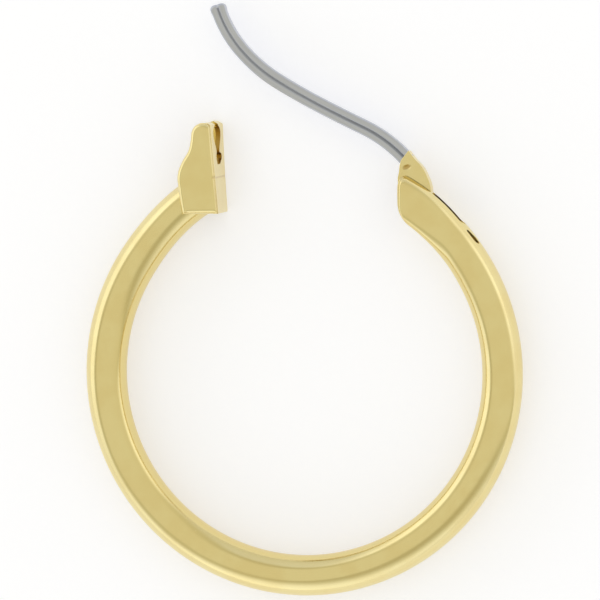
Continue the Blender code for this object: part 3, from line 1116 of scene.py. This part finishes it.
    def cut_openings(self, piece: bpy.types.Object) -> None:
        """Cuts the slot, its round end and the slit through the outer wall."""
        past = self.hoop.tube / 2
        start = self.hinge_angle + 2 * self.hoop.tube / self.hoop.radius
        slot_end = self.hinge_angle - (self.slot_length - self.slot_width / 2) / self.hoop.radius
        slit_start = self.hinge_angle - (self.slot_length + self.bridge) / self.hoop.radius
        slit_mid = slit_start - self.slit_length / self.hoop.radius / 2
        combine(piece, self.sector_mesh(start, slot_end), Matrix.Identity(4))
        shape = [point.scaled(self.slit_length, self.slit_width) for point in self.slit_outline]
        out = outward_at(slit_mid)
        tangent = Vector((out.y, -out.x, 0))
        facing = Matrix((tangent, Vector((0, 0, -1)), out)).transposed().to_4x4()
        middle = out * (self.hoop.radius + past) + Vector((0, 0, self.slit_offset))
        place = Matrix.Translation(middle) @ facing @ leaning(self.slit_skew)
        combine(piece, plate_mesh("slit", shape, past), place)
        out = outward_at(slot_end)
        place = Matrix.Translation(out * (self.hoop.end_radius + past))
        place @= out.to_track_quat("Z", "Y").to_matrix().to_4x4()
        combine(piece, cylinder_mesh("slot_end", self.slot_width / 2, self.hoop.tube), place)

    def build(self, finishes: Finishes) -> bpy.types.Object:
        """Makes the tube and cuts its slot.

        Args:
            finishes: The shared materials.

        Returns:
            The finished piece.
        """
        piece = mesh_piece("hoop_tube_skin", bpy.data.meshes.new("hoop_tube_skin"))
        piece.data = self.skin(finishes.gold).shape(piece, self.sizes())
        tidy_mesh(piece.data, 1e-7)
        self.cut_openings(piece)
        finish_piece(piece, Matrix.Translation(self.hoop.centre), finishes.gold)
        return piece

    def dress(self, piece: bpy.types.Object) -> None:
        """Puts the tube on the hoop's body in place of its solid."""
        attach(piece, Body.HOOP.value)
        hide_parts("hoop_tube")


@dataclass
class Catch:
    """The catch folded from sheet: two cheeks and an end panel with a keyhole.

    Attributes:
        hoop: The ring's sizes.
        height: Height of the catch along its end panel.
        reach: Depth of the cheeks behind the end panel.
        sheet: Thickness of the sheet.
        fold: Outer radius of the folds.
        cheek_clearance: Gap between the tube and each cheek.
        post_width: The post's width, which the seat takes.
        post_thickness: The post's thickness, which the neck takes.
        seat_height: Height of the seat's middle.
        clearance: Gap round the post in its seat and in the neck.
        seat_near: How far the seat reaches towards the near cheek.
        seat_far: How far it reaches towards the far cheek.
        keyhole_width: Width of the keyhole's upper hole.
        hole_top: Height of that hole's top, as a share of what is above the seat.
        hole_middle: Height of its widest part, likewise.
        hole_foot: Height of its foot, likewise.
        seat_top: Height of the seat's upper corners, likewise.
        edge: Rounding of the catch's outer edges.
        flare: How far the far side of the end panel stands forward at its top.
        flare_power: How late that sets in along the height.
        score_width: Half the width of the scored line along the near fold.
        score_depth: Its depth.
        crease_height: Height of the faint crease across the end panel.
        crease_depth: Its depth.
        crease_shade: How strong the painted shade along it is.
        shade_margin: How far below the top the painted shade on the keyhole's walls ends, in
            thicknesses of the sheet.
        voxel: Grain of the remesh that softens the sheet's cut edges.
        rounding: How many times it is smoothed.
        outline: The cheeks' shape, as shares of the reach and the height.
    """

    hoop: Hoop
    height: float = 0.00630
    reach: float = 0.00258
    sheet: float = 0.00033
    fold: float = 0.00024
    cheek_clearance: float = 0.00005
    post_width: float = 0.00103
    post_thickness: float = 0.00062
    seat_height: float = 0.00394
    clearance: float = 0.00005
    seat_near: float = 0.00050
    seat_far: float = 0.00085
    keyhole_width: float = 0.00165
    hole_top: float = 0.88
    hole_middle: float = 0.70
    hole_foot: float = 0.16
    seat_top: float = 0.10
    edge: float = 0.00042
    flare: float = 0.00026
    flare_power: float = 1.5
    score_width: float = 0.00011
    score_depth: float = 0.00006
    crease_height: float = 0.00252
    crease_depth: float = 0.000018
    crease_shade: float = 0.35
    shade_margin: float = 1.3
    voxel: float = 0.000036
    rounding: int = 8
    outline: tuple[OutlinePoint, ...] = (
        OutlinePoint(0.400, 0.000, Corner.SHARP),
        OutlinePoint(-0.962, 0.041, Corner.SHARP),
        OutlinePoint(-1.000, 0.315),
        OutlinePoint(-0.992, 0.465),
        OutlinePoint(-0.854, 0.594),
        OutlinePoint(-0.635, 0.723),
        OutlinePoint(-0.558, 0.823),
        OutlinePoint(-0.488, 0.934),
        OutlinePoint(-0.346, 0.986),
        OutlinePoint(-0.154, 0.998),
        OutlinePoint(0.000, 0.965),
        OutlinePoint(0.400, 0.880, Corner.SHARP),
    )

    @property
    def inner_width(self) -> float:
        """Distance between the cheeks."""
        return self.hoop.tube + 2 * self.cheek_clearance

    @property
    def width(self) -> float:
        """Width of the end panel over both cheeks."""
        return self.inner_width + 2 * self.sheet

    def folded_mesh(self) -> bpy.types.Mesh:
        """The folded strip before its outline is cut: a U section along the catch's height."""

        def quarter(radius: float, x: float, z: float) -> list[tuple[float, float]]:
            """Points round a fold, from the cheek's side at z to the panel's at x."""
            turns = [-math.pi / 2 + math.pi / 2 * step / ARC_STEPS for step in range(ARC_STEPS + 1)]
            return [
                (x + radius * (math.cos(turn) - 1), z + radius * (1 + math.sin(turn)))
                for turn in turns
            ]

        half = self.width / 2
        inner = self.inner_width / 2
        past = self.reach + 2 * self.sheet
        lower = [(-past, -half), *quarter(self.fold, 0.0, -half)]
        back = [(-past, -inner), *quarter(self.fold / 4, -self.sheet, -inner)]
        upper = [(x, -z) for x, z in reversed(lower)]
        rim = lower + upper + [(x, -z) for x, z in back] + back[::-1]
        shape = bmesh.new()
        low, high = [
            [shape.verts.new((x, y, z)) for x, z in rim]
            for y in (-2 * self.sheet, self.height + 2 * self.sheet)
        ]
        for index in range(len(rim)):
            after = (index + 1) % len(rim)
            shape.faces.new((low[index], low[after], high[after], high[index]))
        shape.faces.new(low)
        shape.faces.new(high[::-1])
        bmesh.ops.recalc_face_normals(shape, faces=shape.faces)
        return mesh_from(shape, "catch_skin")

    def keyhole(self) -> list[OutlinePoint]:
        """The keyhole's outline, (far, height), open upwards."""
        neck = self.post_thickness / 2 + self.clearance
        bottom = self.seat_height - self.post_width / 2 - self.clearance

        def above(share: float) -> float:
            """The height at a share of what is above the seat."""
            return self.seat_height + share * (self.height - self.seat_height)

        def side(sign: float, seat: float) -> list[OutlinePoint]:
            """One side of the keyhole, from its mouth down."""
            return [
                OutlinePoint(sign * neck, self.height + self.sheet, Corner.SHARP),
                OutlinePoint(sign * neck, above(self.hole_top), Corner.SHARP),
                OutlinePoint(sign * self.keyhole_width / 2, above(self.hole_middle)),
                OutlinePoint(sign * neck, above(self.hole_foot)),
                OutlinePoint(sign * neck, above(self.seat_top), Corner.SHARP),
                OutlinePoint(sign * seat, self.seat_height),
                OutlinePoint(sign * neck, bottom, Corner.SHARP),
            ]

        return side(1, self.seat_far) + side(-1, self.seat_near)[::-1]

    def from_fold(self, spot: Vector) -> float:
        """Distance from the near fold's line, in half widths of the line."""
        line = self.width / 2 - self.fold - self.score_width / 2
        return abs(spot.z - line) / self.score_width

    def from_crease(self, spot: Vector) -> float:
        """Distance from the crease, in half widths of a scored line."""
        return abs(spot.y - self.crease_height) / self.score_width

    def paint_shade_marks(self, mesh: bpy.types.Mesh) -> None:
        """Marks painted shade on the keyhole's walls, a painted dark reflection along the near
        fold's line and fainter painted shade along the crease.
        """
        inside = self.inner_width / 2 - self.sheet
        low = self.seat_height - self.post_width
        high = self.height - self.shade_margin * self.sheet
        marks = mesh.attributes.new(PAINTED_SHADE_MARK, "FLOAT", "FACE")
        for face, mark in zip(mesh.polygons, marks.data):
            spot, lean = face.center, abs(face.normal.x)
            wall = lean < WALL_LEAN and abs(spot.z) < inside and low < spot.y < high
            # The keyhole's walls take full painted shade.
            if wall and spot.x > -self.sheet:
                mark.value = 1.0
            elif spot.x > -self.sheet / 2 and lean > FRONT_LEAN:
                # The near fold's line takes a painted dark reflection, the crease a fainter painted
                # shade.
                crease = self.crease_shade * (1 - self.from_crease(spot))
                mark.value = max(0.0, 1 - self.from_fold(spot), crease)

    def work_sheet(self, mesh: bpy.types.Mesh) -> None:
        """Presses the near fold's line and the crease, and flares the end panel's far side."""
        for vertex in mesh.vertices:
            spot = vertex.co
            if spot.x > -self.sheet / 2:
                spot.x -= self.score_depth * max(0.0, 1 - self.from_fold(spot) ** 2)
                spot.x -= self.crease_depth * max(0.0, 1 - self.from_crease(spot) ** 2)
            far = max(0.0, 0.5 - spot.z / self.width)
            spot.x += self.flare * far * (max(0.0, spot.y) / self.height) ** self.flare_power

    def build(self, finishes: Finishes) -> bpy.types.Object:
        """Makes the catch in its place.

        Args:
            finishes: The shared materials.

        Returns:
            The finished piece.
        """
        piece = mesh_piece("catch_skin", self.folded_mesh())
        cheek = [point.scaled(self.reach, self.height) for point in self.outline]
        blank = plate_mesh("blank", cheek, self.width, rounding=self.edge)
        combine(piece, blank, Matrix.Identity(4), "INTERSECT")
        round_over(piece, self.voxel, self.rounding)
        hole = plate_mesh("keyhole", self.keyhole(), 6 * self.sheet)
        combine(piece, hole, Matrix.Rotation(math.radians(90), 4, "Y"))
        self.paint_shade_marks(piece.data)
        self.work_sheet(piece.data)
        foot = Matrix.Translation(self.hoop.centre + self.hoop.catch_foot)
        finish_piece(piece, foot @ leaning(self.hoop.catch_lean), finishes.gold)
        return piece

    def dress(self, piece: bpy.types.Object) -> None:
        """Puts the catch on the hoop's body in place of its solid."""
        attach(piece, Body.HOOP.value)
        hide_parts("catch")


@dataclass
class Lever:
    """The gold lever that turns on the pin and carries the post.

    Attributes:
        hoop: The ring's sizes.
        reach: Length of the lever from the pin.
        thickness: Thickness of the lever.
        hub: Radius of its rounded tail round the pin.
        pin_hole: Radius of the pin's hole.
        voxel: Grain of the remesh that rounds the lever.
        rounding: How many times it is smoothed.
        dimple: Where the crimp's dimple is pressed, as shares of the reach.
        dimple_turn: Which way the dimple is long, in degrees from +X towards +Y.
        dimple_long: Half its length.
        dimple_short: Half its width.
        dimple_depth: Its depth.
        dimple_shade: How strong the painted shade in its middle is.
        outer_side: The outline from the post down to the tail, as shares of the reach.
        inner_side: The outline from the tail up to the post, likewise.
    """

    hoop: Hoop
    reach: float = 0.00384
    thickness: float = 0.00076
    hub: float = 0.00075
    pin_hole: float = 0.00033
    voxel: float = 0.00003
    rounding: int = 6
    dimple: OutlinePoint = OutlinePoint(-0.160, 0.667)
    dimple_turn: float = 18.0
    dimple_long: float = 0.00034
    dimple_short: float = 0.00018
    dimple_depth: float = 0.00009
    dimple_shade: float = 0.65
    outer_side: tuple[OutlinePoint, ...] = (
        OutlinePoint(-0.130, 0.960, Corner.SHARP),
        OutlinePoint(-0.026, 0.824),
        OutlinePoint(0.120, 0.664),
        OutlinePoint(0.210, 0.493),
        OutlinePoint(0.262, 0.345),
        OutlinePoint(0.272, 0.220),
    )
    inner_side: tuple[OutlinePoint, ...] = (
        OutlinePoint(-0.255, 0.215),
        OutlinePoint(-0.326, 0.424),
        OutlinePoint(-0.302, 0.602),
        OutlinePoint(-0.290, 0.700),
        OutlinePoint(-0.262, 0.795, Corner.SHARP),
    )

    def press_dimple(self, mesh: bpy.types.Mesh) -> None:
        """Presses the crimp's shallow dimple into the lever's upper face and marks painted shade in
        its middle.
        """
        turn = Matrix.Rotation(-math.radians(self.dimple_turn), 2)
        middle = Vector((self.dimple.across, self.dimple.along)) * self.reach
        marks = mesh.attributes.new(PAINTED_SHADE_MARK, "FLOAT", "POINT")
        for vertex, mark in zip(mesh.vertices, marks.data):
            away = turn @ (vertex.co.xy - middle)
            distance = math.hypot(away.x / self.dimple_long, away.y / self.dimple_short)
            if distance < 1 and vertex.co.z > 0:
                vertex.co.z -= self.dimple_depth * (1 - distance**2)
                # The dimple's middle takes painted shade.
                mark.value = self.dimple_shade * (1 - distance**4)

    def build(self, finishes: Finishes) -> bpy.types.Object:
        """Makes the lever in its place.

        Args:
            finishes: The shared materials.

        Returns:
            The finished piece.
        """
        outer, inner = [
            [point.scaled(self.reach, self.reach) for point in side]
            for side in (self.outer_side, self.inner_side)
        ]
        tail = [OutlinePoint(x * self.hub, y * self.hub) for x, y in ((1, 0), (0, -1), (-1, 0))]
        plate = plate_mesh("hinge_lever_skin", outer + tail + inner, self.thickness)
        piece = mesh_piece("hinge_lever_skin", plate)
        hole = cylinder_mesh("pin_hole", self.pin_hole, 2 * self.thickness)
        combine(piece, hole, Matrix.Identity(4))
        round_over(piece, self.voxel, self.rounding)
        self.press_dimple(piece.data)
        place = Matrix.Translation(self.hoop.centre + self.hoop.pivot)
        finish_piece(piece, place, finishes.gold, sharp=180.0)
        return piece

    def dress(self, piece: bpy.types.Object) -> None:
        """Puts the lever on the post's body in place of its solid."""
        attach(piece, Body.POST_ARM.value)
        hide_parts("hinge_lever")


@dataclass(frozen=True)
class Bend:
    """One point of the post's course.

    Attributes:
        share: Where it is along the post.
        heading: The post's direction there, in degrees from +X towards +Y.
    """

    share: float
    heading: float


@dataclass
class EarPost:
    """The grooved steel post, swept along its bends to a blunt rounded tip.

    Attributes:
        hoop: The ring's sizes.
        lever_reach: The lever's length, which the post's root is a share of.
        root_across: The root's place from the pin along X, as such a share.
        root_along: Its place along Y, likewise.
        length: Length of the post.
        width: Width of its section.
        thickness: Thickness of its section.
        groove: Depth of the groove along both flat faces.
        groove_width: Half the groove's width, as a share of half the section's.
        groove_power: The groove's shape, from 1, a plain V, to a deeper cut.
        groove_fade: Distances from the tip between which the groove sets in.
        root_groove: How much deeper the groove is at the root.
        root_share: Share of the post over which that ends.
        section_power: The section's shape, from 2, an ellipse, towards a rectangle.
        dome: Length of the rounded tip.
        tip_size: Size of the tip's flat end, as a share of the section.
        swelling: How much wider the post is just behind its tip.
        swelling_band: Distances from the tip between which that sets in.
        taper: How much of it is lost again.
        taper_band: Distances from the tip between which that happens.
        closing: Shares of the dome between which the end closes.
        notch: Depth of the notch that the groove leaves in the tip.
        buried: How far the post reaches into the lever.
        steps: Sections along the post.
        around: Points round a section.
        bends: The post's course.
    """

    hoop: Hoop
    lever_reach: float = 0.00384
    root_across: float = -0.230
    root_along: float = 0.854
    length: float = 0.0168
    width: float = 0.00103
    thickness: float = 0.00062
    groove: float = 0.00013
    groove_width: float = 0.27
    groove_power: float = 1.2
    groove_fade: Band = (0.00016, 0.00030)
    root_groove: float = 0.4
    root_share: float = 0.5
    section_power: float = 4.2
    dome: float = 0.00027
    tip_size: float = 0.45
    swelling: float = 0.06
    swelling_band: Band = (0.0007, 0.0004)
    taper: float = 0.03
    taper_band: Band = (0.0003, 0.0)
    closing: Band = (0.995, 1.0)
    notch: float = 0.00007
    buried: float = 0.0004
    steps: int = 260
    around: int = 96
    bends: tuple[Bend, ...] = (
        Bend(0.0, 134.3),
        Bend(0.2, 154.8),
        Bend(0.4, 153.2),
        Bend(0.6, 148.6),
        Bend(0.8, 130.3),
        Bend(1.0, 105.7),
    )

    def heading(self, share: float) -> Vector:
        """The post's direction at a share of its length, between the bends on either side.

        Args:
            share: The share.

        Returns:
            The direction.
        """
        pairs = zip(self.bends, self.bends[1:])
        low, high = next(pair for pair in pairs if share <= pair[1].share)
        part = max(share - low.share, 0.0) / (high.share - low.share)
        return outward_at(math.radians(low.heading + part * (high.heading - low.heading)))

    def path(self) -> bpy.types.Object:
        """The post's centre line as a curve object, from inside the lever to the tip."""
        point = Vector((self.root_across, self.root_along, 0)) * self.lever_reach
        points = [point - self.heading(0) * self.buried]
        last = 0.0
        for step in range(self.steps + 1):
            share = step / self.steps
            point = point + self.heading((share + last) / 2) * (share - last) * self.length
            points.append(point)
            last = share
        curve = bpy.data.curves.new("post_path", "CURVE")
        curve.dimensions = "3D"
        spline = curve.splines.new("POLY")
        spline.points.add(len(points) - 1)
        for knot, place in zip(spline.points, points):
            knot.co = (*place, 1)
        return mesh_piece("post_skin", curve)

    def sizes(self) -> dict[str, float]:
        """The named inputs of the post's node tree."""
        return {
            "Width": self.width,
            "Thickness": self.thickness,
            "Groove Depth": self.groove,
            "Dome": self.dome,
            "Notch": self.notch,
            "Length": self.length + self.buried,
        }

    def skin(self, material: bpy.types.Material) -> SkinTree:
        """Writes the tree that sweeps the grooved section along the centre line.

        Args:
            material: The post's material.

        Returns:
            The finished tree.
        """
        tree = SkinTree.start("grooved post", self.sizes(), self.steps, self.around)
        sheet, given, turn = tree.sheet, tree.given, tree.turn
        share = 1 - (0.5 - tree.along) ** CROWDING
        from_tip = (1 - share) * given["Length"]
        dome_share = (1 - from_tip / given["Dome"]).clamped()
        dome = (1 - dome_share * dome_share) ** 0.5
        swelling = self.swelling * from_tip.smooth(*self.swelling_band)
        flare = 1 + swelling - self.taper * from_tip.smooth(*self.taper_band)
        closed_end = dome_share.smooth(*self.closing)
        size = flare * (self.tip_size + (1 - self.tip_size) * dome) * (1 - closed_end)

        power = self.section_power
        norm = (abs(turn.cosine()) ** power + abs(turn.sine()) ** power) ** (1 / power)
        across = turn.cosine() / norm
        upward = turn.sine() / norm
        groove = (1 - abs(across) / self.groove_width).clamped() ** self.groove_power
        fade = from_tip.smooth(*self.groove_fade)
        deepening = 1 + self.root_groove * (1 - share / self.root_share).clamped()
        drop = groove * fade * deepening * given["Groove Depth"] * upward.sign()
        wide = across * given["Width"] * 0.5 * size
        high = upward * given["Thickness"] * 0.5 * size - drop
        dip = given["Notch"] * (groove + closed_end * (1 - groove)) * dome_share

        sampled = sheet.node(
            "GeometryNodeSampleCurve",
            {"mode": "FACTOR", "use_all_curves": True},
            {"Curves": given["Geometry"], "Factor": share},
        )
        tangent = sheet.wire(sampled, "Tangent")
        side = sheet.vector_maths("CROSS_PRODUCT", (0.0, 0.0, 1.0), tangent)
        placed = sheet.wire(sampled, "Position")
        for shift in (
            sheet.scaled(tangent, 0.0 - dip),
            sheet.scaled(side, wide),
            sheet.vector(0.0, 0.0, high),
        ):
            placed = sheet.vector_maths("ADD", placed, shift)
        pattern = sheet.vector(turn / (2 * math.pi), share, 0.0)
        tree.end(placed, pattern, {}, 1e-8, material)
        return tree

    def build(self, finishes: Finishes) -> bpy.types.Object:
        """Makes the post in its place.

        Args:
            finishes: The shared materials.

        Returns:
            The finished piece.
        """
        path = self.path()
        mesh = self.skin(finishes.steel).shape(path, self.sizes())
        bpy.data.objects.remove(path)
        tidy_mesh(mesh, fill=True)
        piece = mesh_piece("post_skin", mesh)
        place = Matrix.Translation(self.hoop.centre + self.hoop.pivot)
        finish_piece(piece, place, finishes.steel, sharp=50.0)
        return piece

    def dress(self, piece: bpy.types.Object) -> None:
        """Puts the post on its body in place of its solid."""
        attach(piece, Body.POST_ARM.value)
        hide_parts("post")


@dataclass
class HingePin:
    """The hidden pin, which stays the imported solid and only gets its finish.

    Attributes:
        node: The solid's name.
    """

    node: str = "hinge_pin"

    def dress(self, finishes: Finishes) -> None:
        """Gives the solid its steel."""
        for slot in frame["nodes"][self.node].material_slots:
            slot.material = finishes.steel


@dataclass(frozen=True)
class LightRow:
    """The light on one side of the earring, as seen from the camera.

    Attributes:
        side: The side, in degrees from the picture's right towards its top.
        start: How far from the camera's direction the light starts, in degrees.
        edge: Half the width of its soft edge, in degrees.
        strength: How bright it is near its edge.
        far: How bright it is low down, near the floor.
        lip: How much darker the card is along that edge.
    """

    side: float
    start: float
    edge: float
    strength: float
    far: float
    lip: float


@dataclass
class Studio:
    """The floor, the light all round and the camera of the photograph.

    Attributes:
        hoop: The ring's sizes, which the camera is aimed from.
        lean: The camera's lean away from straight above, in degrees.
        lean_towards: The direction of that lean, in degrees from +X towards +Y.
        pixels_per_millimetre: The photograph's scale.
        centre_across: Pixel column of the hoop's centre.
        centre_down: Pixel row of the hoop's centre.
        distance: The camera's distance.
        sensor: The camera sensor's width in millimetres.
        floor_size: Side of the square floor.
        power: Strength of the light as a whole.
        lip_width: How far the card's darker lip reaches from the light's edge, in degrees.
        low_band: Degrees from the camera's direction between which the light is low down.
        bright: The light's colour.
        card: Colour of the card above.
        dark_lip: Colour of its darker lip.
        lights: The light round the earring.
    """

    hoop: Hoop
    lean: float = 13.07
    lean_towards: float = 13.59
    pixels_per_millimetre: float = 14.89
    centre_across: float = 304.32
    centre_down: float = 372.70
    distance: float = 1.6
    sensor: float = 36.0
    floor_size: float = 3.0
    power: float = 1.22
    lip_width: float = 14.0
    low_band: Band = (72.0, 92.0)
    bright: Colour = (0.98, 1.00, 1.04)
    card: Colour = (0.655, 0.635, 0.545)
    dark_lip: Colour = (0.38, 0.36, 0.25)
    lights: tuple[LightRow, ...] = (
        LightRow(0, 63, 7, 0.92, 0.70, 0.0),
        LightRow(25, 60.5, 7, 1.07, 0.74, 0.0),
        LightRow(44, 62, 8, 1.00, 0.70, 0.0),
        LightRow(60, 70, 14, 0.64, 0.62, 0.20),
        LightRow(95, 46, 5, 0.66, 0.60, 0.50),
        LightRow(120, 50, 6, 0.68, 0.62, 0.60),
        LightRow(140, 68, 6, 1.13, 1.08, 0.30),
        LightRow(160, 70, 6, 1.08, 1.03, 0.30),
        LightRow(180, 72.5, 4, 1.09, 1.06, 0.80),
        LightRow(202, 81, 7, 0.82, 0.84, 0.55),
        LightRow(222, 77, 16, 0.82, 0.95, 0.45),
        LightRow(240, 60, 20, 0.96, 1.05, 0.60),
        LightRow(270, 57, 22, 0.93, 0.95, 0.75),
        LightRow(300, 56, 18, 0.87, 0.72, 0.70),
        LightRow(322, 65, 14, 0.75, 0.60, 0.60),
        LightRow(342, 84, 8, 0.60, 0.58, 0.45),
        LightRow(360, 63, 7, 0.92, 0.70, 0.0),
    )

    def turn(self) -> Matrix:
        """The camera's turn: a plain lean, with no roll."""
        towards = leaning(self.lean_towards)
        lean = Matrix.Rotation(math.radians(self.lean), 4, "Y")
        return towards @ lean @ towards.inverted()

    def add_camera(self) -> None:
        """Makes the camera at the photograph's angle and makes it the scene's."""
        turn = self.turn()
        middle = PHOTO_PIXELS / 2
        pixel = MILLIMETRE / self.pixels_per_millimetre
        right, up, back = (turn @ Vector(axis) for axis in ((1, 0, 0), (0, 1, 0), (0, 0, 1)))
        target = self.hoop.centre + right * (middle - self.centre_across) * pixel
        target += up * (self.centre_down - middle) * pixel
        lens = bpy.data.cameras.new("camera")
        lens.sensor_width = self.sensor
        lens.lens = self.distance * self.sensor / (PHOTO_PIXELS * pixel)
        lens.clip_start = 0.01
        lens.clip_end = 10.0
        camera = mesh_piece("camera", lens)
        camera.matrix_world = Matrix.Translation(target + back * self.distance) @ turn
        bpy.context.scene.camera = camera

    def add_floor(self) -> None:
        """Lays the paper that the earring lies on."""
        shape = bmesh.new()
        bmesh.ops.create_grid(shape, x_segments=8, y_segments=8, size=self.floor_size / 2)
        mesh = mesh_from(shape, "floor")
        mesh.materials.append(StudioPaper().material())
        floor = mesh_piece("floor", mesh)

    def add_light(self) -> None:
        """Lights the scene from all round, with a large darker card above."""
        world = bpy.data.worlds.new("studio")
        bpy.context.scene.world = world
        world.use_nodes = True
        sheet = NodeSheet(world.node_tree)
        background = world.node_tree.nodes["Background"]
        direction = sheet.coordinate("Generated")
        turn = self.turn().to_3x3()

        def part(axis: tuple[float, float, float]) -> Wire:
            """How far the direction points along one of the camera's axes."""
            towards = tuple(turn @ Vector(axis))
            return sheet.vector_maths("DOT_PRODUCT", direction, towards, output="Value")

        right, up, back = part((1, 0, 0)), part((0, 1, 0)), part((0, 0, 1))
        side = sheet.maths("ARCTAN2", 0.0 - up, 0.0 - right) / (2 * math.pi) + 0.5

        def table(column: str, most: float) -> Wire:
            """A column of the lights' table, which stays below its most, over the side."""
            stops = [(row.side / 360, (getattr(row, column) / most,) * 3) for row in self.lights]
            ramp = sheet.node("ShaderNodeValToRGB", {"stops": stops}, {"Fac": side})
            return sheet.wire(sheet.node("ShaderNodeSeparateColor", None, {0: ramp})) * most

        away = back.arc_cosine() * (180 / math.pi)
        edge = table("edge", most=90.0)
        past = (away - table("start", most=180.0)) / edge
        low = away.smooth(*self.low_band)
        strength = table("strength", most=2.0) * (1 - low) + table("far", most=2.0) * low
        near_lip = ((past + 1.0) * edge).smooth(-self.lip_width, 0.0) * table("lip", most=1.0)
        card = sheet.mix_colour(near_lip, self.card, self.dark_lip)
        light = sheet.scaled(self.bright, strength)
        colour = sheet.mix_colour(past.smooth(-1.0, 1.0), card, light)
        sheet.feed(background.inputs["Color"], colour)
        background.inputs["Strength"].default_value = self.power

    def build(self) -> None:
        """Makes the camera, the floor and the light, and sets plain colours."""
        self.add_camera()
        self.add_floor()
        self.add_light()
        bpy.context.scene.view_settings.view_transform = "Standard"


def report(piece: bpy.types.Object) -> None:
    """Logs a finished piece and its number of triangles."""
    piece.data.calc_loop_triangles()
    LOG.info("%s: %d triangles", piece.name, len(piece.data.loop_triangles))


def main() -> None:
    """Builds the earring and its studio."""
    logging.basicConfig(level=logging.INFO)
    hoop = Hoop()
    finishes = Finishes(GoldPlate().material(), DrawnSteel().material())
    for assembly in (HoopTube(hoop), Catch(hoop), Lever(hoop), EarPost(hoop)):
        piece = assembly.build(finishes)
        assembly.dress(piece)
        report(piece)
    HingePin().dress(finishes)
    Studio(hoop).build()


if __name__ == "__main__":
    main()
